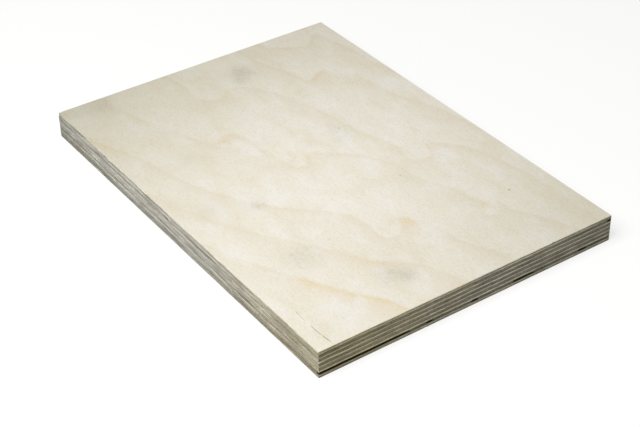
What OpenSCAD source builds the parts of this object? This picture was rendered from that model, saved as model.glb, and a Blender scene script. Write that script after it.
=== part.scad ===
// Plywood sheet: crossed plies between two outer veneers, glued face to face into one flat panel.
// The origin is at the middle of the underside, with +X along the length and +Z up.
// The front edge is on the -Y side and the right edge is on the +X side.
// All sizes are in millimetres.

/* [Sheet] */
// Length of the sheet, along the grain of the face veneer
sheet_l = 297; // [200:1:1200]
// Width of the sheet, across the grain of the face veneer
sheet_w = 210; // [120:1:600]

/* [Plies] */
// Thickness of the face veneer, and of the back veneer, after sanding
face_t = 0.75; // [0.4:0.05:1.5]
// Thickness of each ply between the two outer veneers
core_t = 1.5; // [0.8:0.1:3]
// Number of crossbands, the plies whose grain runs across the sheet
crossband_count = 6; // [2:1:10]

/* [Short ply] */
// Length of the slot that the lowest long ply leaves open along the right edge, from the front corner
gap_run = 62; // [20:1:110]
// Depth of that slot, from the sawn edge to the end of the ply
gap_depth = 3.5; // [1:0.5:8]
// Depth of the slot at the front corner itself, where it starts
gap_corner_depth = 1.5; // [0.2:0.1:1.8]
// Depth of the small pockets further along the same ply
pocket_depth = 1.2; // [0.4:0.1:2]

/* [Hole at the corner] */
// Length of the hole in the top long ply beside the back right corner, along the right edge
hole_run = 1.8; // [0.5:0.1:8]
// Depth of that hole from the right edge
hole_depth = 2.6; // [0.5:0.1:8]

/* [Hidden] */
// Like plies are numbered from the top of the sheet down.
crossband_names = [for (i = [1 : crossband_count]) str("crossband_", i)];
long_ply_names = [for (i = [1 : crossband_count - 1]) str("long_ply_", i)];

// The core starts and ends with a crossband, with one long ply between each pair.
core_count = 2 * crossband_count - 1;
core_top = face_t + core_count * core_t;

// Each pocket: its start and its length along the right edge, measured from the front corner.
pockets = [[72, 6], [104, 6], [135, 17], [185, 7]];
// A slot or pocket reaches its full depth over this many times that depth, or over a third of its length.
gap_slope = 2;
// Wood left between the hole at the corner and the back edge
hole_wall = 0.4;
// How far a cut runs past the faces that it opens
cut_past = 1;

face_colour = [0.90, 0.87, 0.79];
crossband_colour = [0.55, 0.52, 0.45];
long_ply_colour = [0.72, 0.69, 0.61];

// Underside of crossband i and of long ply i, counted from 1 at the top
function crossband_z(i) = core_top - (2 * i - 1) * core_t;
function long_ply_z(i) = core_top - 2 * i * core_t;

// A whole ply, sawn to the sheet's outline
module ply(bottom, thickness) {
    translate([-sheet_l / 2, -sheet_w / 2, bottom])
        cube([sheet_l, sheet_w, thickness]);
}

// An opening in the right edge of the ply with this underside, wide at the edge and narrower inside
module end_opening(bottom, start, run, depth) {
    taper = min(gap_slope * depth, run / 3);
    taper_past = taper * cut_past / depth;
    outline = [
        [cut_past, start - taper_past],
        [-depth, start + taper],
        [-depth, start + run - taper],
        [cut_past, start + run + taper_past]
    ];
    translate([sheet_l / 2, -sheet_w / 2, bottom - cut_past])
        linear_extrude(core_t + 2 * cut_past) polygon(outline);
}

// The slot, which is already open where it starts at the front corner, and the pockets beside it
module short_ply_openings(bottom) {
    corner_start = -gap_slope * gap_corner_depth;
    end_opening(bottom, corner_start, gap_run - corner_start, gap_depth);
    for (pocket = pockets)
        end_opening(bottom, pocket[0], pocket[1], pocket_depth);
}

// The hole beside the back right corner
module corner_hole(bottom) {
    end_opening(bottom, sheet_w - hole_wall - hole_run, hole_run, hole_depth);
}

module face_veneer() {
    color(face_colour) ply(core_top, face_t);
}

module back_veneer() {
    color(face_colour) ply(0, face_t);
}

module crossband(i) {
    color(crossband_colour) ply(crossband_z(i), core_t);
}

module long_ply(i) {
    color(long_ply_colour) difference() {
        ply(long_ply_z(i), core_t);
        if (i == 1) corner_hole(long_ply_z(i));
        if (i == len(long_ply_names)) short_ply_openings(long_ply_z(i));
    }
}

face_veneer();
for (i = [1 : len(crossband_names)])
    crossband(i);
for (i = [1 : len(long_ply_names)])
    long_ply(i);
back_veneer();
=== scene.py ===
# %% [markdown]
# # A sheet of plywood
#
# A plywood sheet is a stack of thin veneers, peeled from a log and glued with the grain of each one
# across the grain of the next. Its looks come from three things: the figure of the face veneer, the
# stripes that the veneers make along the sawn edges, and the small damage of sawing and handling.
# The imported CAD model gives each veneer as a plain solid, and this lesson gives each one its wood.

# %% Load the frame
import math

import bmesh
import bpy
import numpy as np
from mathutils import Matrix, Vector


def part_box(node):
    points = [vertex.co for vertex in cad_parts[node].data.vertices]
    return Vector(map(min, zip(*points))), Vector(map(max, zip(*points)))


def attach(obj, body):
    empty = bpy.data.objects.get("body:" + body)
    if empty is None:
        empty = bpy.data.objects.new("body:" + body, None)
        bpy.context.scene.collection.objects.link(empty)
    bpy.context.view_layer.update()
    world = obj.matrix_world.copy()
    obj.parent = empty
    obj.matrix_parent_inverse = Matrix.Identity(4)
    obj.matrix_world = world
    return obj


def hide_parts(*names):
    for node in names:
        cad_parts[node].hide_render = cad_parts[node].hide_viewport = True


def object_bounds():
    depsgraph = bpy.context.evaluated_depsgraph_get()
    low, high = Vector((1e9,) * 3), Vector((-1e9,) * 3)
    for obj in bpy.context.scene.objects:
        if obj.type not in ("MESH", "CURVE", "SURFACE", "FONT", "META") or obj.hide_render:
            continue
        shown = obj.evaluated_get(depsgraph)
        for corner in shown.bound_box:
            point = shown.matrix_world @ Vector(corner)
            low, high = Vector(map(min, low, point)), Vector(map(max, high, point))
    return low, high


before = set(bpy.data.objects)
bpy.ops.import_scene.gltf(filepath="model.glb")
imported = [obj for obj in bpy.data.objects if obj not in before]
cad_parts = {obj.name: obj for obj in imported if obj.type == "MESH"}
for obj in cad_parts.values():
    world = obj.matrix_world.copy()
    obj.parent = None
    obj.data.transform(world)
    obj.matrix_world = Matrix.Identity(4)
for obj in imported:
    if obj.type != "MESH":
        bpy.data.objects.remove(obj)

MM = 0.001
cad_low, cad_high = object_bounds()
half_length = cad_high.x
half_width = cad_high.y
print("sheet in mm:", [round(side / MM, 2) for side in cad_high - cad_low])

# %% [markdown]
# ## The camera
#
# A long lens from a little under a metre away keeps the sheet's edges almost parallel, as a product
# picture does. The camera is placed by two angles and a distance from the point that it looks at,
# which is easier to read and to change than a matrix.

# %% Place the camera
CAMERA_AZIMUTH = math.radians(55.57)
CAMERA_ELEVATION = math.radians(35.31)
CAMERA_ROLL = math.radians(-1.01)
CAMERA_DISTANCE = 0.9293
CAMERA_LENS = 85.63
AIM = Vector((0.0250, -0.0177, 0.0))


def aim_matrix(azimuth, elevation, roll, distance, aim):
    """The place and turn of a camera or lamp that looks at a point from these angles."""
    flat = math.cos(elevation)
    back = Vector((math.sin(azimuth) * flat, -math.cos(azimuth) * flat, math.sin(elevation)))
    level = Vector((0, 0, 1)).cross(back).normalized()
    upright = back.cross(level)
    right = level * math.cos(roll) + upright * math.sin(roll)
    up = upright * math.cos(roll) - level * math.sin(roll)
    turn = Matrix((right, up, back)).transposed().to_4x4()
    return Matrix.Translation(aim + back * distance) @ turn


camera = bpy.data.objects.new("camera", bpy.data.cameras.new("camera"))
camera.data.lens = CAMERA_LENS
camera.data.sensor_width = 36.0
camera.data.clip_start = 0.01
camera.matrix_world = aim_matrix(
    CAMERA_AZIMUTH, CAMERA_ELEVATION, CAMERA_ROLL, CAMERA_DISTANCE, AIM)
bpy.context.scene.collection.objects.link(camera)
bpy.context.scene.camera = camera
print("camera at", [round(c, 3) for c in camera.matrix_world.translation])

# %% [markdown]
# ## A small kit for node trees
#
# Materials and Geometry Nodes are both trees of nodes. Placing each node by hand in code takes many
# lines, so a few helpers do it: one adds a node with its settings and its inputs, and the others are
# short names for the arithmetic that comes up again and again. An input can be a number or the
# output of another node.

# %% Helpers for nodes
def put(tree, kind, inputs=None, **settings):
    """Adds a node, sets it up, and fills its inputs with values or with links."""
    node = tree.nodes.new(kind)
    for name, value in settings.items():
        setattr(node, name, value)
    for name, value in (inputs or {}).items():
        if isinstance(value, bpy.types.NodeSocket):
            tree.links.new(value, node.inputs[name])
        else:
            node.inputs[name].default_value = value
    return node


def calc(tree, operation, *values):
    """One step of arithmetic on numbers."""
    return put(tree, "ShaderNodeMath", dict(enumerate(values)), operation=operation).outputs[0]


def calc_vector(tree, operation, *values):
    """One step of arithmetic on vectors. A dot product or a length comes out as a number."""
    node = put(tree, "ShaderNodeVectorMath", dict(enumerate(values)), operation=operation)
    return node.outputs["Value" if operation in ("DOT_PRODUCT", "LENGTH") else "Vector"]


def ramp(tree, value, low, high, at_low=0.0, at_high=1.0):
    """A soft step from one value to another as the input goes from low to high."""
    return put(tree, "ShaderNodeMapRange",
               {"Value": value, "From Min": low, "From Max": high,
                "To Min": at_low, "To Max": at_high},
               interpolation_type="SMOOTHSTEP").outputs[0]


def noise(tree, vector, scale, detail=2.0, roughness=0.5):
    """Smooth noise from 0 to 1, about 0.5 on average."""
    return put(tree, "ShaderNodeTexNoise",
               {"Vector": vector, "Scale": scale, "Detail": detail,
                "Roughness": roughness}).outputs[0]


def mix(tree, share, first, second, way="MIX"):
    """Mixes two colours."""
    return put(tree, "ShaderNodeMix", {0: share, 6: first, 7: second},
               data_type="RGBA", blend_type=way).outputs[2]


def new_tree(name, kind, inputs, outputs):
    """An empty node tree with named inputs and outputs, and its input and output nodes."""
    tree = bpy.data.node_groups.new(name, kind)
    for label, socket, value in inputs:
        made = tree.interface.new_socket(label, in_out="INPUT", socket_type="NodeSocket" + socket)
        if value is not None:
            made.default_value = value
    for label, socket in outputs:
        tree.interface.new_socket(label, in_out="OUTPUT", socket_type="NodeSocket" + socket)
    return tree, put(tree, "NodeGroupInput").outputs, put(tree, "NodeGroupOutput").inputs


# %% [markdown]
# ## Outlines from the CAD veneers
#
# Each veneer was sawn with the whole sheet, so all have the same outline, apart from the one that
# stops short of the right edge and the one with a hole beside a corner. Those shapes are in the CAD
# solids. The outline is read from the underside of each solid, so that nothing has to be typed in
# twice. Extra points go in between the corners, close enough to show torn fibres.

# %% Read an outline
CELL = 0.375 * MM


def cad_outline(node):
    """The corners of a CAD veneer's underside, in order, seen from above."""
    copy = bmesh.new()
    copy.from_mesh(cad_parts[node].data)
    bmesh.ops.remove_doubles(copy, verts=copy.verts, dist=1e-6)
    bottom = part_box(node)[0].z
    under = {f for f in copy.faces if all(v.co.z < bottom + 1e-6 for v in f.verts)}
    rim = [e for e in copy.edges if sum(f in under for f in e.link_faces) == 1]
    following = {}
    for edge in rim:
        face = next(f for f in edge.link_faces if f in under)
        loop = next(lp for lp in face.loops if lp.edge == edge)
        following[edge.other_vert(loop.vert)] = loop.vert
    start = next(iter(following))
    order = [start]
    while following[order[-1]] is not start:
        order.append(following[order[-1]])
    points = np.array([v.co.xy for v in order])
    copy.free()
    return points


def filled_in(points, cell=CELL):
    """The outline with extra points, none further from the next than one cell."""
    rows = []
    for here, there in zip(points, np.roll(points, -1, axis=0)):
        count = max(1, math.ceil(np.linalg.norm(there - here) / cell - 1e-6))
        rows.append(here + (there - here) * np.arange(count)[:, None] / count)
    return np.concatenate(rows)


for node in ("crossband_1", "long_ply_1", "long_ply_5"):
    corners = cad_outline(node)
    print(node, "corners:", len(corners), "points:", len(filled_in(corners)))

# %% [markdown]
# ## The cap of a core ply
#
# A core ply shows only its sawn edges, so its flat side needs no more than one face with many
# corners. The walls are grown from it later. Chips, the places where a fibre bundle broke out under
# the saw, are written on the corners of the face as an attribute, in metres. A second attribute says
# how dark the wood is there: dark stretches that are partly glue and dirt and partly painted shade,
# glue, dust and painted shade on the walls inside the slot and the pockets, and painted near black
# shade in the hole beside a corner.

# %% Caps and chips
def write_attribute(mesh, name, values):
    """Stores one number for each point of a mesh."""
    layer = mesh.attributes.new(name, "FLOAT", "POINT")
    layer.data.foreach_set("value", np.asarray(values, np.float32))


# How dark the walls are inside a slot, from glue that ran in, dust that settled and painted shade, and in
# a deep narrow hole, where the near black is painted shade
IN_SLOT_DIRT_AND_SHADE = 0.85
IN_HOLE_PAINTED_SHADE = 2.0


def spread_along(xy, marks):
    """How strong the marks on an edge are at each outline point. A mark is (x, y, run, strength)."""
    strongest = np.zeros(len(xy))
    for x, y, run, strength in marks:
        away = np.linalg.norm(xy / MM - (x, y), axis=1)
        strongest = np.maximum(strongest, strength * np.clip(1.3 - 2.6 * away / run, 0, 1))
    return strongest


def core_cap(node, chips=(), stains_and_shade=()):
    """A core ply's flat side as one face, at height 0."""
    xy = filled_in(cad_outline(node))
    mesh = bpy.data.meshes.new(node + "_cap")
    mesh.from_pydata([(x, y, 0.0) for x, y in xy], [], [range(len(xy))])
    write_attribute(mesh, "chip", spread_along(xy, chips) * MM)
    # Walls set back from the sheet's outline are painted darker: in the slot and the pockets this is
    # glue, dust and painted shade, and in the narrow hole it is painted shade alone.
    inside = np.minimum(half_length - np.abs(xy[:, 0]), half_width - np.abs(xy[:, 1]))
    narrow = node == "long_ply_1"
    inside_dirt_and_shade = (IN_HOLE_PAINTED_SHADE if narrow else IN_SLOT_DIRT_AND_SHADE) * (inside > (0.05 if narrow else 0.4) * MM)
    write_attribute(mesh, "stain", np.maximum(spread_along(xy, stains_and_shade), inside_dirt_and_shade))
    return mesh


# %% [markdown]
# ## The growth lines of the face veneer
#
# A log is peeled like a roll of paper, so the blade crosses each growth ring at a very low angle and
# the rings come out as long wandering lines. Each line here is a short list of points, chosen in
# steps of 5 mm from the middle of the sheet. A thin-plate spline, which is the shape of a bent
# metal sheet that passes through all the points, turns them into one smooth field: it is 0 on the
# first line, 1 on the second and so on. Its slope says how far apart the lines are, which keeps them
# all equally fine.

# %% Growth lines as a field
GROWTH_LINES = [
    [(-65, 105), (-80, 100), (-135, 90), (-125, 75), (-150, 50)],
    [(-150, 35), (-115, 40), (-85, 50), (-90, 65), (-75, 80), (-15, 95), (30, 105)],
    [(-150, -25), (-100, -15), (-105, 10), (-80, 25), (-10, 40), (30, 45), (25, 65), (45, 85),
     (110, 95), (150, 95)],
    [(-150, -75), (-95, -60), (-55, -45), (-60, -30), (0, -10), (-10, 0), (5, 20), (30, 35),
     (105, 45), (100, 60), (150, 80)],
    [(-110, -105), (-30, -80), (90, -15), (80, 5), (100, 15), (150, 35)],
    [(-35, -105), (20, -85), (55, -65), (85, -45), (115, -20), (150, -5)],
    [(30, -105), (85, -80), (135, -50), (150, -45)],
]
# A point past the last line, at the front right corner, which isn't on a line of its own
PAST_LAST_LINE = ((150, -105), 6.5)
# The back veneer is a plainer cut of the same wood, with straighter lines.
BACK_LINES = [
    [(-148, 96), (-60, 88), (40, 98), (148, 90)],
    [(-148, 62), (-70, 50), (10, 66), (80, 58), (148, 70)],
    [(-148, 20), (-96, 12), (-50, 24), (30, 14), (90, 26), (148, 18)],
    [(-148, -22), (-80, -30), (-10, -16), (60, -30), (148, -20)],
    [(-148, -60), (-60, -74), (20, -58), (100, -66), (148, -58)],
    [(-148, -98), (-40, -100), (60, -92), (148, -99)],
]


def bend(distance):
    """The thin-plate spline's kernel."""
    safe = np.maximum(distance, 1e-9)
    return safe * safe * np.log(safe)


def growth_field(lines, extra=()):
    """A function of x and y in mm that is 0 on the first line, 1 on the second and so on."""
    points = [(p, level) for level, line in enumerate(lines) for p in line] + list(extra)
    places = np.array([p for p, level in points], float)
    levels = np.array([level for p, level in points], float)
    count = len(places)
    plane = np.column_stack([np.ones(count), places])
    system = np.zeros((count + 3, count + 3))
    system[:count, :count] = bend(np.linalg.norm(places[:, None] - places[None], axis=2))
    system[:count, count:] = plane
    system[count:, :count] = plane.T
    weights = np.linalg.solve(system, np.append(levels, (0, 0, 0)))

    def field(xy):
        away = np.linalg.norm(xy[:, None] - places[None], axis=2)
        return bend(away) @ weights[:count] + weights[count] + xy @ weights[count + 1:]
    return field


face_growth = growth_field(GROWTH_LINES, [PAST_LAST_LINE])
back_growth = growth_field(BACK_LINES)
print("growth field at the middle:", round(float(face_growth(np.zeros((1, 2)))[0]), 3))

# %% [markdown]
# ## The caps of the outer veneers
#
# The face carries its figure as attributes, so it needs a grid of points all over. The walls need
# points four times closer than the grid does. Each cell along the border therefore gets the wall's
# extra points on its outer side, so that grid and wall share every point and no gap can open.
# A drying crack runs in from the right edge beside the front edge. Some rows of the grid follow it
# closely, and the row on the crack itself is pushed down in the next step. It is open in two
# stretches, with sound wood between them.

# %% Grid caps
GRID = 1.5 * MM
# The crack: where it lies across the sheet, how far it runs in, half its width where it is fully
# open, and how much of the veneer's thickness it goes through
CRACK_Y = -95.4 * MM
CRACK_RUN = 36.0 * MM
CRACK_HALF_WIDTH = 0.26 * MM
CRACK_DEPTH_SHARE = 0.75
# Rows of the grid beside the crack, from its middle
CRACK_ROWS = np.array([-1.2, -0.5, -0.2, 0.0, 0.2, 0.5, 1.2]) * MM


def spaced(low, high, step):
    """Even places from low to high, about one step apart."""
    return np.linspace(low, high, round((high - low) / step) + 1)


# The crack's course: how far in from the right edge, how far open from 0 to 1, and how far off
# CRACK_Y, in mm
CRACK_COURSE = [(36, 0.0, 0.0), (34, 0.55, 0.0), (27, 0.5, -0.3), (25, 0.08, -0.35), (21, 0.08, -0.35),
                (19.5, 0.9, -0.35), (12, 1.0, 0.1), (4.5, 1.0, 0.7), (3, 0.2, 0.8), (0, 0.2, 1.0)]


def along_crack(x, column):
    """How far open the crack is (column 1) or how far off its line (column 2) at x."""
    course = np.array(CRACK_COURSE)
    return np.interp(half_length / MM - x / MM, course[::-1, 0], course[::-1, column])


def crack_line(x):
    """How far the crack wanders from its straight line at x."""
    return (along_crack(x, 2) + 0.06 * np.sin(x / MM * 0.83 + 1)) * MM


def crack_opening(x):
    """How far open the crack is at x, from 0 to 1, with a little unevenness."""
    return along_crack(x, 1) * (0.85 + 0.15 * np.sin(x / MM * 0.9))


def grid_rows():
    """The grid's places along x and along y."""
    fine_from = half_length - CRACK_RUN - 4 * GRID
    along = np.concatenate([spaced(-half_length, fine_from, GRID)[:-1],
                            spaced(fine_from, half_length, GRID / 2)])
    before = spaced(-half_width, CRACK_Y + CRACK_ROWS[0], GRID)[:-1]
    after = spaced(CRACK_Y + CRACK_ROWS[-1], half_width, GRID)[1:]
    across = np.concatenate([before, CRACK_Y + CRACK_ROWS, after])
    return along, across


def grid_cap(name, chips=(), cracked=False):
    """An outer veneer's flat side as a grid with a finer border, at height 0."""
    along, across = grid_rows()
    columns, rows = len(along), len(across)
    points = [(x, y) for y in across for x in along]

    def border(first, second):
        """Extra points between two grid points on the rim, shared by the wall."""
        a, b = np.array(points[first]), np.array(points[second])
        count = math.ceil(np.linalg.norm(b - a) / CELL - 1e-6)
        made = range(len(points), len(points) + count - 1)
        points.extend(tuple(a + (b - a) * k / count) for k in range(1, count))
        return list(made)

    faces = []
    for row in range(rows - 1):
        for column in range(columns - 1):
            start = row * columns + column
            corners = [start, start + 1, start + columns + 1, start + columns]
            on_rim = [row == 0, column == columns - 2, row == rows - 2, column == 0]
            face = []
            for side in range(4):
                face.append(corners[side])
                if on_rim[side]:
                    face += border(corners[side], corners[(side + 1) % 4])
            faces.append(face)
    xy = np.array(points)
    crack = np.zeros(len(xy))
    rim = (np.abs(xy[:, 0]) > half_length - 1e-6) | (np.abs(xy[:, 1]) > half_width - 1e-6)
    depth = spread_along(xy, chips) * rim * MM
    if cracked:
        opening = crack_opening(xy[:, 0])
        offset = xy[:, 1] - CRACK_Y
        crack = CRACK_DEPTH_SHARE * opening * np.clip(1 - np.abs(offset) / (0.1 * MM), 0, 1)
        inner = np.abs(CRACK_ROWS[2])
        near = np.clip(1 - np.abs(np.abs(offset) - inner) / (0.1 * MM), 0, 1)
        xy[:, 1] -= near * np.sign(offset) * (inner - CRACK_HALF_WIDTH * opening - 0.02 * MM)
        follow = np.clip(1 - np.abs(offset) / (8 * MM), 0, 1) ** 2
        xy[:, 1] += crack_line(xy[:, 0]) * follow
    mesh = bpy.data.meshes.new(name + "_cap")
    mesh.from_pydata([(x, y, 0.0) for x, y in xy], [], faces)
    write_attribute(mesh, "chip", depth)
    write_attribute(mesh, "crack", crack)
    return mesh


# %% [markdown]
# ## Growing a ply from its cap
#
# A Geometry Nodes tree turns any cap into a finished ply. It raises the cap in a few rows, which
# makes the walls, and closes the bottom with a face that fits the rim. Then it gives the walls their
# relief: every point moves inwards a little, so the ply never gets bigger than its CAD solid. The
# relief is fine fuzz where fibres were cut across, a slow waviness, a few torn places, the chips that
# the cap carries, and a thin groove where one ply meets the next. The arris, the sharp corner
# between a face and an edge, is eased a little on the outer veneers.

# %% The tree that grows a ply
GROW_INPUTS = [
    ("Geometry", "Geometry", None),
    ("Thickness", "Float", 1.5 * MM),
    ("Underside", "Float", 0.0),
    ("Rows", "Int", 5),
    ("Half length", "Float", half_length),
    ("Half width", "Float", half_width),
    ("Reach", "Float", 0.01 * MM),
    ("Fuzz on left and right", "Float", 0.1 * MM),
    ("Fuzz on front and back", "Float", 0.1 * MM),
    ("Torn depth", "Float", 0.3 * MM),
    ("Joint groove", "Float", 0.08 * MM),
    ("Eased arris", "Float", 0.0),
    ("Seed", "Float", 0.0),
    ("Tone", "Float", 1.0),
    ("Material", "Material", None),
]


def named(tree, name):
    """Reads a number that the mesh carries."""
    return put(tree, "GeometryNodeInputNamedAttribute", {"Name": name},
               data_type="FLOAT").outputs["Attribute"]


def store(tree, geometry, name, value):
    """Writes a number on every point of the mesh."""
    return put(tree, "GeometryNodeStoreNamedAttribute",
               {"Geometry": geometry, "Name": name, "Value": value},
               data_type="FLOAT", domain="POINT").outputs["Geometry"]


def raised_rows(tree, given):
    """The cap raised in rows: the walls and the top, still open underneath."""
    first = put(tree, "GeometryNodeRepeatInput")
    last = put(tree, "GeometryNodeRepeatOutput")
    first.pair_with_output(last)
    tree.links.new(given["Rows"], first.inputs["Iterations"])
    tree.links.new(given["Geometry"], first.inputs["Geometry"])
    facing = put(tree, "ShaderNodeSeparateXYZ",
                 {0: put(tree, "GeometryNodeInputNormal").outputs[0]}).outputs["Z"]
    lift = put(tree, "ShaderNodeCombineXYZ",
               {"Z": calc(tree, "DIVIDE", given["Thickness"], given["Rows"])}).outputs[0]
    row = put(tree, "GeometryNodeExtrudeMesh",
              {"Mesh": first.outputs["Geometry"], "Selection": calc(tree, "GREATER_THAN", facing, 0.5),
               "Offset": lift, "Individual": False}, mode="FACES")
    tree.links.new(row.outputs["Mesh"], last.inputs["Geometry"])
    return last.outputs["Geometry"]


def bottom_face(tree, given):
    """One face that fits the cap's rim and looks down."""
    neighbours = put(tree, "GeometryNodeInputMeshEdgeNeighbors").outputs["Face Count"]
    on_rim = calc(tree, "LESS_THAN", neighbours, 1.5)
    rim = put(tree, "GeometryNodeMeshToCurve", {"Mesh": given["Geometry"], "Selection": on_rim})
    face = put(tree, "GeometryNodeFillCurve", {"Curve": rim.outputs[0]}, mode="NGONS")
    return put(tree, "GeometryNodeFlipFaces", {"Mesh": face.outputs[0]}).outputs[0]


def wall_relief(tree, given, place, level):
    """How far each point of the walls moves inwards, as a vector."""
    x, y = put(tree, "ShaderNodeSeparateXYZ", {0: place}).outputs[:2]
    from_side = calc(tree, "SUBTRACT", given["Half length"], calc(tree, "ABSOLUTE", x))
    from_front = calc(tree, "SUBTRACT", given["Half width"], calc(tree, "ABSOLUTE", y))
    on_side = ramp(tree, from_side, given["Reach"], calc(tree, "MULTIPLY", given["Reach"], 1.6), 1.0, 0.0)
    on_front = calc(tree, "LESS_THAN", from_front, 0.01 * MM)
    shift = put(tree, "ShaderNodeCombineXYZ", {"X": given["Seed"], "Y": given["Seed"],
                                               "Z": given["Seed"]}).outputs[0]
    spot = calc_vector(tree, "MULTIPLY_ADD", place, (1000.0, 1000.0, 1000.0), shift)
    fine = noise(tree, calc_vector(tree, "MULTIPLY", spot, (1.0, 1.0, 1.6)), 1.7, 3.0, 0.7)
    slow = noise(tree, calc_vector(tree, "MULTIPLY", spot, (0.03, 0.03, 0.3)), 1.0, 1.0)
    torn = noise(tree, calc_vector(tree, "MULTIPLY", spot, (0.35, 0.35, 0.9)), 1.0, 2.0, 0.6)
    torn_in = calc(tree, "MULTIPLY", ramp(tree, torn, 0.62, 0.78), given["Torn depth"])
    off_middle = calc(tree, "ABSOLUTE", calc(tree, "MULTIPLY_ADD", level, 2.0, -1.0))
    groove = calc(tree, "MULTIPLY", calc(tree, "POWER", off_middle, 8.0), given["Joint groove"])
    arris = calc(tree, "MULTIPLY", ramp(tree, level, 0.6, 1.0), given["Eased arris"])
    chip = calc(tree, "MULTIPLY", named(tree, "chip"),
                calc(tree, "MULTIPLY_ADD", fine, 1.2, 0.4))
    common = calc(tree, "MULTIPLY", slow, 0.12 * MM)
    for part in (torn_in, groove, arris, chip):
        common = calc(tree, "ADD", common, part)

    def inwards(coordinate, mask, fuzz):
        depth = calc(tree, "MULTIPLY_ADD", fine, fuzz, common)
        return calc(tree, "MULTIPLY", calc(tree, "MULTIPLY", depth, mask),
                    calc(tree, "MULTIPLY", calc(tree, "SIGN", coordinate), -1.0))
    return put(tree, "ShaderNodeCombineXYZ",
               {"X": inwards(x, on_side, given["Fuzz on left and right"]),
                "Y": inwards(y, on_front, given["Fuzz on front and back"])}).outputs[0]


def build_grow_tree():
    tree, given, result = new_tree("Grow ply", "GeometryNodeTree", GROW_INPUTS,
                                   [("Geometry", "Geometry")])
    joined = put(tree, "GeometryNodeJoinGeometry")
    tree.links.new(bottom_face(tree, given), joined.inputs[0])
    tree.links.new(raised_rows(tree, given), joined.inputs[0])
    closed = put(tree, "GeometryNodeMergeByDistance",
                 {"Geometry": joined.outputs[0], "Distance": 0.002 * MM}).outputs[0]
    place = put(tree, "GeometryNodeInputPosition").outputs[0]
    z = put(tree, "ShaderNodeSeparateXYZ", {0: place}).outputs["Z"]
    body = store(tree, closed, "level", calc(tree, "DIVIDE", z, given["Thickness"]))
    body = store(tree, body, "tone", given["Tone"])
    level = named(tree, "level")
    sunk = calc(tree, "MULTIPLY", calc(tree, "MULTIPLY", z, named(tree, "crack")), -1.0)
    body = put(tree, "GeometryNodeSetPosition",
               {"Geometry": body, "Offset": wall_relief(tree, given, place, level)}).outputs[0]
    raised = calc(tree, "ADD", sunk, given["Underside"])
    body = put(tree, "GeometryNodeSetPosition",
               {"Geometry": body,
                "Offset": put(tree, "ShaderNodeCombineXYZ", {"Z": raised}).outputs[0]}).outputs[0]
    bend_angle = put(tree, "GeometryNodeInputMeshEdgeAngle").outputs["Unsigned Angle"]
    sharp = calc(tree, "GREATER_THAN", bend_angle, math.radians(38))
    body = put(tree, "GeometryNodeSetShadeSmooth",
               {"Geometry": body, "Shade Smooth": True}, domain="FACE").outputs[0]
    body = put(tree, "GeometryNodeSetShadeSmooth",
               {"Geometry": body, "Selection": sharp, "Shade Smooth": False},
               domain="EDGE").outputs[0]
    body = put(tree, "GeometryNodeRealizeInstances", {"Geometry": body}).outputs[0]
    body = put(tree, "GeometryNodeSetMaterial",
               {"Geometry": body, "Material": given["Material"]}).outputs[0]
    tree.links.new(body, result["Geometry"])
    return tree


grow_tree = build_grow_tree()
print("nodes in the tree:", len(grow_tree.nodes))


# %% [markdown]
# ## Running the tree
#
# The tree belongs to a modifier, and a modifier belongs to an object, so each cap gets an object for
# as long as the tree runs. Its inputs are set by their identifiers, because the labels are only for
# people. The result is copied into a mesh of its own: the finished ply is then a plain object that
# depends on no modifier.

# %% Grow a ply
def grow(name, cap, **inputs):
    """Runs the tree on a cap and returns the finished ply as a plain mesh object."""
    seedling = bpy.data.objects.new(name + "_seedling", cap)
    bpy.context.scene.collection.objects.link(seedling)
    modifier = seedling.modifiers.new("Grow ply", "NODES")
    modifier.node_group = grow_tree
    for item in grow_tree.interface.items_tree:
        label = item.name.replace(" ", "_").lower()
        if item.in_out == "INPUT" and label in inputs:
            modifier[item.identifier] = inputs[label]
    graph = bpy.context.evaluated_depsgraph_get()
    mesh = bpy.data.meshes.new_from_object(seedling.evaluated_get(graph))
    mesh.name = name
    bpy.data.objects.remove(seedling)
    piece = bpy.data.objects.new(name, mesh)
    bpy.context.scene.collection.objects.link(piece)
    return piece


# %% [markdown]
# ## How wood looks along and across its grain
#
# Wood is a bundle of fibres. A cut along them shows long streaks, and a cut across them shows their
# ends, which soak up dirt and glue and look darker and speckled. Both come from one solid pattern: a
# noise that is stretched along the grain gives streaks on one kind of face and specks on the other,
# with no need to say which is which. The surface's own direction, compared with the grain's, gives
# the colour. Everything that more than one wood uses is in one shader group. It also holds the growth
# rings, the glue that squeezed out between the plies, a yellower tint towards one corner, painted
# shade towards some corners where the light falls off, dirt and painted shade in the slot and the
# pockets, and painted near black shade in the hole.

# %% Inputs and colours of the sawn edge
EDGE_INPUTS = [
    ("Grain direction", "Vector", (1.0, 0.0, 0.0)),
    ("Grain stretch", "Vector", (0.05, 1.0, 1.0)),
    ("Long grain", "Color", (0.5, 0.45, 0.35, 1.0)),
    ("End grain", "Color", (0.3, 0.26, 0.2, 1.0)),
    ("Glue", "Color", (0.08, 0.06, 0.03, 1.0)),
    ("Glue strength", "Float", 0.8),
    ("Glue start", "Float", 0.9),
    ("Glued sides", "Float", 2.0),
]
# Dirt and painted shade in an opening, the painted near black shade of a deep narrow hole, and the brown
# of a streak of old wood
SLOT_DIRT_AND_SHADE = (0.09, 0.075, 0.035, 1.0)
HOLE_SHADE_BLACK = (0.008, 0.007, 0.004, 1.0)
BROWN_STREAK = (0.20, 0.12, 0.06, 1.0)
# What yellowing does to the colour, and the corner that has yellowed most, in mm
YELLOWING = (0.92, 0.86, 0.66, 1.0)
WARM_CORNER = (148.5, -105.0, 9.0)
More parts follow.
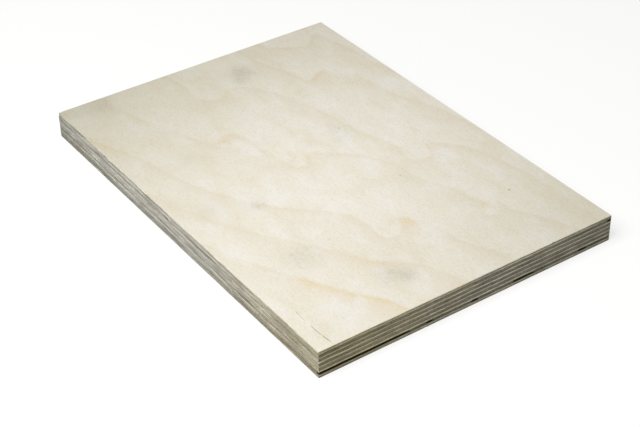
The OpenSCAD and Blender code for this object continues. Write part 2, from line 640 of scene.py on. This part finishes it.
# The corners that are painted darker, as painted shade where the light falls off: where they are, how far
# it reaches in mm, and how dark they are
PAINTED_DARK_CORNERS = [((148.5, 105.0, 0.0), 150.0, 0.20), ((-148.5, -105.0, 18.0), 45.0, 0.18),
                ((148.5, -105.0, 9.0), 50.0, 0.10)]
print("sawn edge inputs:", len(EDGE_INPUTS))


# %% Helpers for wood shaders
def shader_attribute(tree, name):
    """Reads a number that the mesh carries."""
    return put(tree, "ShaderNodeAttribute", attribute_name=name).outputs["Fac"]


def place_in_mm(tree):
    """Where a point is on the object, in millimetres."""
    place = put(tree, "ShaderNodeTexCoord").outputs["Object"]
    return calc_vector(tree, "MULTIPLY", place, (1000.0, 1000.0, 1000.0))


def stretched(tree, place, stretch):
    """Coordinates that are squeezed or stretched by a factor along each axis."""
    return calc_vector(tree, "MULTIPLY", place, stretch)


def grey_of(tree, shade):
    """A number as a grey colour."""
    return put(tree, "ShaderNodeCombineColor", {0: shade, 1: shade, 2: shade}).outputs[0]


def times(tree, *numbers):
    """The product of several numbers."""
    product = numbers[0]
    for number in numbers[1:]:
        product = calc(tree, "MULTIPLY", product, number)
    return product


def end_grain_mask(tree, direction):
    """0 where a face runs along the fibres and 1 where it cuts across them."""
    facing = put(tree, "ShaderNodeNewGeometry").outputs["True Normal"]
    across = calc(tree, "ABSOLUTE", calc_vector(tree, "DOT_PRODUCT", facing, direction))
    return ramp(tree, across, 0.45, 0.8)


def near_corner(tree, place, corner, reach):
    """1 at a corner of the sheet, fading to 0 at this distance in mm."""
    away = calc_vector(tree, "LENGTH", calc_vector(tree, "SUBTRACT", place, corner))
    return ramp(tree, away, 10.0, reach, 1.0, 0.0)


def glue_mask(tree, given, place, end):
    """Where glue shows: from some way off the ply's middle for long grain, sooner in end grain."""
    level = shader_attribute(tree, "level")
    off_middle = calc(tree, "MULTIPLY_ADD", level, given["Glued sides"], -1.0)
    ragged = calc(tree, "MULTIPLY_ADD", noise(tree, place, 0.9, 3.0, 0.6), 0.30,
                  calc(tree, "ABSOLUTE", off_middle))
    start = ramp(tree, end, 0.0, 1.0, given["Glue start"], 0.92)
    return ramp(tree, ragged, start, calc(tree, "ADD", start, 0.22))


# %% The sawn edge group
def build_edge_group():
    tree, given, result = new_tree(
        "Sawn edge", "ShaderNodeTree", EDGE_INPUTS,
        [("Color", "Color"), ("Height", "Float"), ("Roughness", "Float")])
    place = place_in_mm(tree)
    end = end_grain_mask(tree, given["Grain direction"])
    along = stretched(tree, place, given["Grain stretch"])
    streaks = noise(tree, along, 2.6, 4.0, 0.65)
    pores = ramp(tree, noise(tree, along, 4.2, 2.0, 0.6), 0.58, 0.72)
    clouds = noise(tree, stretched(tree, place, (0.05, 0.05, 0.5)), 1.0, 3.0, 0.6)
    drift = noise(tree, stretched(tree, place, (0.02, 0.02, 0.25)), 1.0, 2.0)
    x, y, z = put(tree, "ShaderNodeSeparateXYZ", {0: place}).outputs

    # Growth rings lie almost flat in a peeled veneer, so the edge shows them as long lines.
    ring = calc(tree, "MULTIPLY_ADD", drift, 9.0, calc(tree, "MULTIPLY", z, 0.55))
    late = times(tree, calc(tree, "POWER", calc(tree, "PINGPONG", ring, 0.5), 3.0), 8.0)
    # The peeling blade leaves fine slanting checks, which the end grain shows.
    slant = calc(tree, "ADD", calc(tree, "ADD", x, y), times(tree, z, 0.7))
    tick = put(tree, "ShaderNodeCombineXYZ", {"X": times(tree, slant, 1.5), "Z": times(tree, z, 0.3)})
    checks = times(tree, ramp(tree, noise(tree, tick.outputs[0], 1.0, 1.0), 0.60, 0.72), end)

    warmth = near_corner(tree, place, WARM_CORNER, 130.0)
    # Painted shade: the edges are painted darker towards some corners, where the light falls off.
    painted_corner_dim = 0.0
    for corner, reach, strength in PAINTED_DARK_CORNERS:
        painted_corner_dim = calc(tree, "MAXIMUM", painted_corner_dim, times(tree, near_corner(tree, place, corner, reach), strength))
    brown = ramp(tree, noise(tree, stretched(tree, place, (0.03, 0.03, 0.4)), 1.3), 0.50, 0.68)
    color = mix(tree, end, given["Long grain"], given["End grain"])
    color = mix(tree, times(tree, warmth, 0.75), color, YELLOWING, "MULTIPLY")
    color = mix(tree, times(tree, brown, 0.30), color, BROWN_STREAK)

    shade = ramp(tree, streaks, 0.25, 0.75, 0.60, 1.36)
    shade = times(tree, shade, ramp(tree, clouds, 0.3, 0.7, 0.80, 1.18),
                  calc(tree, "MULTIPLY_ADD", late, -0.25, 1.05),
                  calc(tree, "MULTIPLY_ADD", pores, -0.40, 1.0),
                  calc(tree, "MULTIPLY_ADD", checks, -0.45, 1.0),
                  calc(tree, "SUBTRACT", 1.0, painted_corner_dim), shader_attribute(tree, "tone"))
    color = mix(tree, 1.0, color, grey_of(tree, shade), "MULTIPLY")
    # Darkening from the mesh: dark stretches that are partly dirt and partly painted shade, and glue,
    # dust and painted shade on walls inside the slot and the pockets.
    stain = times(tree, shader_attribute(tree, "stain"), ramp(tree, streaks, 0.3, 0.7, 1.0, 0.6))
    stain = calc(tree, "MINIMUM", stain, 1.0)
    color = mix(tree, stain, color, SLOT_DIRT_AND_SHADE)
    glue = times(tree, glue_mask(tree, given, place, end), given["Glue strength"])
    facing = put(tree, "ShaderNodeSeparateXYZ",
                 {0: put(tree, "ShaderNodeNewGeometry").outputs["True Normal"]}).outputs["Z"]
    glue = calc(tree, "MAXIMUM", glue, ramp(tree, calc(tree, "ABSOLUTE", facing), 0.6, 0.9))
    color = mix(tree, glue, color, given["Glue"])
    # Painted shade: the deep narrow hole beside a corner is painted near black.
    hole_shade_share = ramp(tree, shader_attribute(tree, "stain"), 1.1, 1.9)
    tree.links.new(mix(tree, hole_shade_share, color, HOLE_SHADE_BLACK), result["Color"])

    relief = calc(tree, "MULTIPLY_ADD", pores, -0.8, streaks)
    relief = calc(tree, "MULTIPLY_ADD", late, 0.2, relief)
    relief = calc(tree, "MULTIPLY_ADD", checks, -0.8, relief)
    tree.links.new(calc(tree, "MULTIPLY_ADD", glue, -0.5, relief), result["Height"])
    tree.links.new(ramp(tree, streaks, 0.2, 0.8, 0.92, 0.72), result["Roughness"])
    return tree


edge_group = build_edge_group()
print("sawn edge group:", len(edge_group.nodes), "nodes")

# %% [markdown]
# ## The figure of the face
#
# A growth line has two sides. On the side of the older wood it comes in fast, and from there it
# fades through beige into the pale wood of the next spring. So the group turns the growth field into
# a distance from the last line, in millimetres, and lets a thin line and a wide pale wash die away
# with that distance. The line is feathered along the fibres and comes and goes, and resin colours it
# orange in places. Over it lie fine fibres, chalky and warm patches, a fine mottle, short pores, grey
# stains and a few pin marks.

# %% Inputs and colours of the face
FACE_INPUTS = [
    ("Pale wood", "Color", (0.835, 0.795, 0.71, 1.0)),
    ("Beige wood", "Color", (0.80, 0.745, 0.64, 1.0)),
    ("Growth line", "Color", (0.76, 0.63, 0.42, 1.0)),
    ("Grey stain", "Color", (0.33, 0.32, 0.25, 1.0)),
]
ORANGE_RESIN = (0.80, 0.62, 0.35, 1.0)
CHALKY_PATCH = (0.855, 0.84, 0.80, 1.0)
WARM_PATCH = (0.78, 0.72, 0.59, 1.0)
# Pin marks on the face, with their radius, in mm
PIN_MARKS = [((93.0, 74.0, 18.0), 0.8), ((42.0, 30.5, 18.0), 0.6), ((-24.5, 32.0, 18.0), 0.6)]
print("pin marks:", len(PIN_MARKS))


# %% The veneer face group
def bell(tree, distance, middle, width):
    """A smooth bump: 1 in the middle and close to 0 two widths away."""
    off = calc(tree, "DIVIDE", calc(tree, "SUBTRACT", distance, middle), width)
    return calc(tree, "EXPONENT", times(tree, off, off, -1.0))


def fade_out(tree, distance, length):
    """1 at no distance, dying away over this length."""
    return calc(tree, "EXPONENT", times(tree, distance, -1.0 / length))


def pin_marks(tree, place):
    """A mask of the small round marks that fixings and sharp tips left."""
    mask = 0.0
    for spot, radius in PIN_MARKS:
        away = calc_vector(tree, "LENGTH", calc_vector(tree, "SUBTRACT", place, spot))
        mask = calc(tree, "MAXIMUM", mask, ramp(tree, away, radius * 0.4, radius, 1.0, 0.0))
    return mask


def build_face_group():
    tree, given, result = new_tree(
        "Veneer face", "ShaderNodeTree", FACE_INPUTS,
        [("Color", "Color"), ("Height", "Float"), ("Roughness", "Float")])
    place = place_in_mm(tree)
    fibres = noise(tree, stretched(tree, place, (0.07, 1.0, 1.0)), 1.5, 4.0, 0.65)
    feather = noise(tree, stretched(tree, place, (0.16, 1.3, 1.3)), 1.0, 3.0, 0.6)
    wander = noise(tree, stretched(tree, place, (0.10, 0.18, 0.18)), 1.0, 3.0, 0.6)
    patches = noise(tree, stretched(tree, place, (0.028, 0.045, 0.045)), 1.0, 3.0, 0.6)
    chalk = noise(tree, stretched(tree, place, (0.035, 0.06, 0.06)), 1.0, 4.0, 0.62)
    mottle = noise(tree, stretched(tree, place, (0.35, 0.6, 0.6)), 1.0, 3.0, 0.65)
    dust = noise(tree, stretched(tree, place, (1.0, 1.5, 1.5)), 1.0, 2.0, 0.7)
    pores = ramp(tree, noise(tree, stretched(tree, place, (0.5, 2.6, 2.6)), 1.0, 2.0, 0.6), 0.66, 0.78)

    rate = shader_attribute(tree, "ring_rate")
    shift = calc(tree, "MULTIPLY_ADD", wander, 4.0, calc(tree, "MULTIPLY_ADD", feather, 3.2, -3.6))
    field = calc(tree, "MULTIPLY_ADD", shift, rate, shader_attribute(tree, "rings"))
    past = calc(tree, "DIVIDE", calc(tree, "FRACT", field), rate)
    before = calc(tree, "SUBTRACT", calc(tree, "DIVIDE", 1.0, rate), past)
    wide = ramp(tree, patches, 0.42, 0.60, 1.2, 2.5)
    band = calc(tree, "MAXIMUM", bell(tree, past, 0.7, wide), bell(tree, before, -0.7, wide))
    strength = times(tree, ramp(tree, patches, 0.36, 0.62, 0.1, 1.0),
                     ramp(tree, mottle, 0.3, 0.65, 0.5, 1.0))
    line = times(tree, band, strength)
    start = ramp(tree, before, 0.0, 2.4, 1.0, 0.0)
    wash = calc(tree, "MAXIMUM", fade_out(tree, past, 12.0), times(tree, start, 0.9))

    color = mix(tree, times(tree, wash, ramp(tree, mottle, 0.2, 0.8, 0.8, 1.15)),
                given["Pale wood"], given["Beige wood"])
    color = mix(tree, times(tree, line, 0.18), color, given["Growth line"])
    orange = times(tree, shader_attribute(tree, "resin"),
                   calc(tree, "MULTIPLY_ADD", wash, 0.35, times(tree, band, 0.25)))
    color = mix(tree, orange, color, ORANGE_RESIN)
    color = mix(tree, ramp(tree, chalk, 0.48, 0.70, 0.0, 0.7), color, CHALKY_PATCH)
    color = mix(tree, ramp(tree, chalk, 0.50, 0.32, 0.0, 0.6), color, WARM_PATCH)
    blotch = calc(tree, "MULTIPLY_ADD", calc(tree, "ADD", mottle, dust), 3.0, -3.0)
    blotch = calc(tree, "ADD", blotch, shader_attribute(tree, "stain"))
    stain = calc(tree, "MULTIPLY_ADD", shader_attribute(tree, "stain"), 0.05,
                 times(tree, ramp(tree, blotch, 0.25, 0.95), 0.34))
    color = mix(tree, stain, color, given["Grey stain"])

    shade = ramp(tree, fibres, 0.25, 0.75, 0.97, 1.02)
    shade = times(tree, shade, ramp(tree, mottle, 0.25, 0.75, 0.93, 1.06),
                  ramp(tree, dust, 0.25, 0.75, 0.91, 1.08),
                  calc(tree, "MULTIPLY_ADD", pores, -0.17, 1.0),
                  calc(tree, "MULTIPLY_ADD", pin_marks(tree, place), -0.6, 1.0))
    color = mix(tree, 1.0, color, grey_of(tree, shade), "MULTIPLY")
    # Painted light: the face is painted darker towards some corners, where the light falls off, and a
    # little yellower where it is darker.
    painted_light = shader_attribute(tree, "painted_light")
    painted_light_tint = put(tree, "ShaderNodeCombineColor", {0: painted_light, 1: painted_light, 2: calc(tree, "POWER", painted_light, 1.25)})
    tree.links.new(mix(tree, 1.0, color, painted_light_tint.outputs[0], "MULTIPLY"), result["Color"])

    relief = calc(tree, "MULTIPLY_ADD", line, 0.5, fibres)
    relief = calc(tree, "MULTIPLY_ADD", mottle, 0.4, relief)
    tree.links.new(calc(tree, "MULTIPLY_ADD", pores, -0.5, relief), result["Height"])
    tree.links.new(ramp(tree, fibres, 0.2, 0.8, 0.72, 0.55), result["Roughness"])
    return tree


face_group = build_face_group()
print("veneer face group:", len(face_group.nodes), "nodes")

# %% [markdown]
# ## Three woods
#
# The same pale softwood makes three materials. The long plies and the crossbands differ only in which
# way their grain runs, so they share the sawn edge group with other values. The outer veneers use the
# face group where they look up or down and the sawn edge group on their thin edges.

# %% The materials
GLUE = (0.075, 0.062, 0.020, 1.0)
CRACK_PAINTED_SHADE = (0.32, 0.27, 0.20, 1.0)
ALONG_X = ((1.0, 0.0, 0.0), (0.05, 1.0, 1.0))
ALONG_Y = ((0.0, 1.0, 0.0), (1.0, 0.05, 1.0))


def new_material(name):
    """A material with an empty Principled shader, and the shader."""
    material = bpy.data.materials.new(name)
    material.use_nodes = True
    shader = material.node_tree.nodes["Principled BSDF"]
    shader.inputs["Specular IOR Level"].default_value = 0.25
    return material, material.node_tree, shader


def finish_wood(tree, shader, color, height, roughness, depth):
    """Joins colour, relief and roughness to the shader."""
    bump = put(tree, "ShaderNodeBump", {"Height": height, "Distance": depth, "Strength": 0.8})
    tree.links.new(color, shader.inputs["Base Color"])
    tree.links.new(roughness, shader.inputs["Roughness"])
    tree.links.new(bump.outputs[0], shader.inputs["Normal"])


def edge_node(tree, grain, long_grain, end_grain, glue_strength, glue_start, glued_sides):
    """The sawn edge group, set up for a grain direction."""
    direction, stretch = grain
    return put(tree, "ShaderNodeGroup", {
        "Grain direction": direction, "Grain stretch": stretch, "Long grain": long_grain,
        "End grain": end_grain, "Glue": GLUE, "Glue strength": glue_strength,
        "Glue start": glue_start, "Glued sides": glued_sides},
        node_tree=edge_group).outputs


def core_wood(name, grain, long_grain, end_grain, glue_start):
    """The wood of a core ply."""
    material, tree, shader = new_material(name)
    edge = edge_node(tree, grain, long_grain, end_grain, 0.75, glue_start, 2.0)
    finish_wood(tree, shader, edge["Color"], edge["Height"], edge["Roughness"], 0.06 * MM)
    return material


def outer_wood(name):
    """The wood of the face and back veneers."""
    material, tree, shader = new_material(name)
    edge = edge_node(tree, ALONG_X, (0.84, 0.81, 0.69, 1.0), (0.86, 0.79, 0.58, 1.0), 0.85, 0.95, 1.0)
    face = put(tree, "ShaderNodeGroup", node_tree=face_group).outputs
    facing = put(tree, "ShaderNodeSeparateXYZ",
                 {0: put(tree, "ShaderNodeNewGeometry").outputs["True Normal"]}).outputs["Z"]
    flat = ramp(tree, calc(tree, "ABSOLUTE", facing), 0.6, 0.85)
    color = mix(tree, flat, edge["Color"], face["Color"])
    # Painted shade: the crack is painted darker the deeper and wider it opens.
    sunk = ramp(tree, shader_attribute(tree, "crack"), 0.03, 0.4, 0.0, 0.85)
    color = mix(tree, sunk, color, CRACK_PAINTED_SHADE)
    height = put(tree, "ShaderNodeMix", {0: flat, 2: edge["Height"], 3: face["Height"]})
    rough = put(tree, "ShaderNodeMix", {0: flat, 2: edge["Roughness"], 3: face["Roughness"]})
    finish_wood(tree, shader, color, height.outputs[0], rough.outputs[0], 0.04 * MM)
    return material


crossband_wood = core_wood("crossband_veneer", ALONG_Y, (0.945, 0.905, 0.77, 1.0),
                           (0.60, 0.58, 0.505, 1.0), 0.80)
long_wood = core_wood("long_veneer", ALONG_X, (0.73, 0.71, 0.64, 1.0),
                      (0.505, 0.478, 0.387, 1.0), 1.02)
outer_veneer = outer_wood("outer_veneer")
print("materials:", [m.name for m in (crossband_wood, long_wood, outer_veneer)])

# %% [markdown]
# ## Making the core plies
#
# Each core ply is grown from its own CAD outline. The ends of its fibres get more fuzz than its long
# sides. Each ply has a tone of its own, because no two veneers come from the same part of the log,
# and the lowest ones are the darkest, partly for their own tone and partly as painted shade in the
# recess and the gaps low on the edge. The chips are the few places where a piece broke out of the
# edge or where two strips of veneer don't quite meet. The dark stretches are partly glue and dirt that
# soaked in and partly painted shade at the chips, the gaps and the hole beside a corner.

# %% Core plies
FUZZ_END = 0.16 * MM
FUZZ_LONG = 0.07 * MM
# Tones from the top of the sheet down; the low ones at the bottom are partly painted shade
CROSSBAND_TONES = [1.06, 0.94, 1.14, 0.96, 1.10, 0.86]
LONG_TONES = [0.98, 1.0, 0.97, 1.0, 0.66]
# Chips on a ply: x and y on the outline, how long and how deep, in mm
CHIPS = {
    "crossband_2": [(-9.5, -105, 3, 0.9), (28, -105, 26, 0.3)],
    "crossband_4": [(75, -105, 12, 0.5)],
    "crossband_6": [(-95, -105, 12, 0.4), (120, -105, 20, 0.3)],
    "long_ply_2": [(148.5, 6, 16, 0.35)],
    "crossband_1": [(-148.5, -105, 5, 0.5), (-87.5, -105, 3, 0.5)],
}
# Dark stretches on a ply: x and y, how long, and how strong. Some are glue and dirt that soaked in,
# and those at the chips, at the gaps of the lowest long ply and at the hole are painted shade
DARK_STRETCHES = {
    "crossband_2": [(-11, -105, 6, 0.6), (28, -105, 56, 0.45), (-80, -105, 60, 0.15)],
    "crossband_4": [(75, -105, 34, 0.55), (24, -105, 30, 0.3), (-135, -105, 34, 0.3)],
    "crossband_6": [(-90, -105, 200, 0.4), (-120, -105, 60, 0.5), (90, -105, 140, 0.35)],
    "long_ply_5": [(148.5, -105, 40, 0.35), (-95, -105, 60, 0.4), (148.5, -36, 18, 0.35),
                   (148.5, 40, 26, 0.45), (148.5, 92, 34, 0.6)],
    "crossband_1": [(148.5, 103, 10, 0.5)],
    "long_ply_1": [(148.5, 103.6, 5, 2.0)],
}


def make_core_ply(node, material, tone, seed, fuzz_x, fuzz_y):
    low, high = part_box(node)
    shortened = node == "long_ply_5"
    cap = core_cap(node, CHIPS.get(node, ()), DARK_STRETCHES.get(node, ()))
    return grow(node + "_wood", cap, thickness=high.z - low.z, underside=low.z, rows=5,
                reach=(3.8 if shortened else 0.01) * MM,
                fuzz_on_left_and_right=fuzz_x, fuzz_on_front_and_back=fuzz_y,
                torn_depth=0.25 * MM, joint_groove=0.04 * MM, seed=seed, tone=tone,
                material=material)


made = {}
for number, tone in enumerate(CROSSBAND_TONES, 1):
    node = f"crossband_{number}"
    made[node] = make_core_ply(node, crossband_wood, tone, 31.0 * number, FUZZ_LONG, FUZZ_END)
for number, tone in enumerate(LONG_TONES, 1):
    node = f"long_ply_{number}"
    made[node] = make_core_ply(node, long_wood, tone, 17.0 * number + 5, FUZZ_END, FUZZ_LONG)
for node, piece in made.items():
    piece.data.calc_loop_triangles()
    print(node, "triangles:", len(piece.data.loop_triangles))

# %% [markdown]
# ## Making the outer veneers
#
# The face and back veneers were sanded after pressing, so they are half as thick as the rest. The
# growth field, its slope, the grey stains, the resin and a painted falloff of light towards some
# corners are written on the finished mesh, point by point, for the face group to read. The back veneer
# is grown like the face and then turned over.

# %% Outer veneers
# Grey stains on the face: x, y, radius and strength, in mm
FACE_STAINS = [(-121, 20, 10, 0.75), (-112, 13, 6, 0.4), (-22, 33, 12, 0.3), (-12, 24, 6, 0.25),
               (118, -33, 11, 0.65), (125, -26, 6, 0.45), (75, -66, 13, 0.55), (-50, -65, 10, 0.25),
               (17, -58, 6, 0.6), (47, 31, 8, 0.25), (-122, -1, 6, 0.2), (-140, -78, 14, 0.55),
               (-142, -98, 9, 0.35), (5, -82, 12, 0.3)]
# Where resin has coloured the growth lines orange: x, y, radius and strength, in mm
FACE_RESIN = [(135, -54, 26, 0.9), (96, -72, 14, 0.7), (83, 7, 8, 0.7), (104, -42, 14, 0.5),
              (-90, 58, 10, 0.7), (-10, -6, 8, 0.5), (-136, 60, 10, 0.5), (98, 55, 7, 0.6),
              (-60, -34, 8, 0.5), (-95, -100, 14, 0.5), (148, -20, 10, 0.4), (26, 55, 8, 0.5)]
BACK_STAINS = [(40, 30, 14, 0.45), (-80, -50, 10, 0.55)]
SLOWEST_CHANGE = 0.008
# Painted light: how bright the face is painted in the middle and at the corners, darker where the light
# falls off
FACE_PAINTED_LIGHT = [((0, 0), 1.05), ((-150, 105), 0.9), ((150, 105), 0.85), ((-150, -105), 0.7),
            ((150, -105), 0.95)]
face_painted_light = growth_field([], FACE_PAINTED_LIGHT)


def soft_spots(xy, spots):
    """How strong some round soft spots are at each point. A spot is (x, y, radius, strength)."""
    total = np.zeros(len(xy))
    for x, y, radius, strength in spots:
        away = np.linalg.norm(xy - (x, y), axis=1) / radius
        total += strength * np.exp(-away * away)
    return total


def write_figure(mesh, growth, stains_and_shade, resin, painted_light):
    """Stores the growth field, its slope per mm, stains, resin and painted light on the points."""
    co = np.empty(len(mesh.vertices) * 3, np.float32)
    mesh.vertices.foreach_get("co", co)
    xy = co.reshape(-1, 3)[:, :2].astype(float) / MM
    step = 0.5
    right, left = growth(xy + (step, 0)), growth(xy - (step, 0))
    back, front = growth(xy + (0, step)), growth(xy - (0, step))
    slope = np.hypot(right - left, back - front) / (2 * step)
    write_attribute(mesh, "rings", growth(xy) + 10)
    write_attribute(mesh, "ring_rate", np.maximum(slope, SLOWEST_CHANGE))
    write_attribute(mesh, "painted_light", painted_light(xy))
    write_attribute(mesh, "stain", soft_spots(xy, stains_and_shade))
    write_attribute(mesh, "resin", soft_spots(xy, resin))


def make_outer_veneer(node, cap, turned, tone, growth, stains_and_shade, resin, painted_light):
    low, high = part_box(node)
    piece = grow(node + "_wood", cap, thickness=high.z - low.z,
                 underside=0.0 if turned else low.z, rows=3,
                 fuzz_on_left_and_right=0.08 * MM, fuzz_on_front_and_back=0.06 * MM,
                 torn_depth=0.2 * MM, joint_groove=0.0, eased_arris=0.14 * MM,
                 seed=3.0, tone=tone, material=outer_veneer)
    if turned:
        piece.data.transform(Matrix.Translation((0, 0, high.z)) @ Matrix.Rotation(math.pi, 4, "X"))
    write_figure(piece.data, growth, stains_and_shade, resin, painted_light)
    return piece


face_chips = [(-148.5, -105, 6, 0.8), (-87.5, -105, 3, 0.7), (-60, -105, 3, 0.4), (21, -105, 4, 0.3),
              (148.5, 60, 3, 0.3)]
made["face_veneer"] = make_outer_veneer(
    "face_veneer", grid_cap("face_veneer", face_chips, cracked=True), False, 1.0,
    face_growth, FACE_STAINS, FACE_RESIN, face_painted_light)
made["back_veneer"] = make_outer_veneer(
    "back_veneer", grid_cap("back_veneer"), True, 0.75,
    back_growth, BACK_STAINS, [(-60, 10, 25, 0.6)], lambda xy: np.full(len(xy), 0.93))
for node in ("face_veneer", "back_veneer"):
    made[node].data.calc_loop_triangles()
    print(node, "triangles:", len(made[node].data.loop_triangles))

# %% [markdown]
# ## Handing the pieces over
#
# Each finished ply stands for the CAD solid of the same name and rides with the sheet's one body.

# %% Ride and replace
for node, piece in made.items():
    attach(piece, "root")
    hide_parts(node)
print("pieces:", len(made))

# %% [markdown]
# ## Studio
#
# A wide white floor, one large soft lamp in front of the sheet and above it, and a pale sky that
# fills in the shadows. The lamp stands near the front edge, so the face is brightest at the front and
# the right edge, which turns away from it, is the darkest.

# %% Floor
FLOOR_HALF = 6.0
FLOOR_GREY = (0.30, 0.30, 0.30, 1.0)
# How much the floor glows for the camera alone, so that it looks white but throws back little light
FLOOR_GLOW = 0.72

floor_mesh = bpy.data.meshes.new("floor")
floor_mesh.from_pydata([(-FLOOR_HALF, -FLOOR_HALF, 0), (FLOOR_HALF, -FLOOR_HALF, 0),
                        (FLOOR_HALF, FLOOR_HALF, 0), (-FLOOR_HALF, FLOOR_HALF, 0)],
                       [], [(0, 1, 2, 3)])
floor = bpy.data.objects.new("floor", floor_mesh)
bpy.context.scene.collection.objects.link(floor)
floor_paint, floor_tree, floor_shader = new_material("floor")
floor_shader.inputs["Roughness"].default_value = 0.9
floor_shader.inputs["Base Color"].default_value = FLOOR_GREY
floor_shader.inputs["Emission Color"].default_value = (1.0, 1.0, 1.0, 1.0)
seen = put(floor_tree, "ShaderNodeLightPath").outputs["Is Camera Ray"]
glow = calc(floor_tree, "MULTIPLY", seen, FLOOR_GLOW)
floor_tree.links.new(glow, floor_shader.inputs["Emission Strength"])
floor_mesh.materials.append(floor_paint)
print("floor is", 2 * FLOOR_HALF, "m square")

# %% Lamp
LAMP_AZIMUTH = math.radians(11)
LAMP_ELEVATION = math.radians(58)
LAMP_DISTANCE = 1.1
LAMP_AIM = Vector((0.03, -0.02, 0))

lamp = bpy.data.objects.new("softbox", bpy.data.lights.new("softbox", "AREA"))
lamp.data.shape = "SQUARE"
lamp.data.size = 0.7
lamp.data.energy = 12.2
lamp.data.color = (1.0, 1.0, 1.015)
lamp.matrix_world = aim_matrix(LAMP_AZIMUTH, LAMP_ELEVATION, 0.0, LAMP_DISTANCE, LAMP_AIM)
bpy.context.scene.collection.objects.link(lamp)
print("lamp at", [round(c, 2) for c in lamp.matrix_world.translation])

# %% Sky
SKY_COLOUR = (1.0, 0.97, 0.80, 1.0)
SKY_STRENGTH = 0.265

sky = bpy.data.worlds.new("sky")
sky.use_nodes = True
sky.node_tree.nodes["Background"].inputs["Color"].default_value = SKY_COLOUR
sky.node_tree.nodes["Background"].inputs["Strength"].default_value = SKY_STRENGTH
bpy.context.scene.world = sky
bpy.context.scene.view_settings.view_transform = "Standard"
print("sky strength:", SKY_STRENGTH)
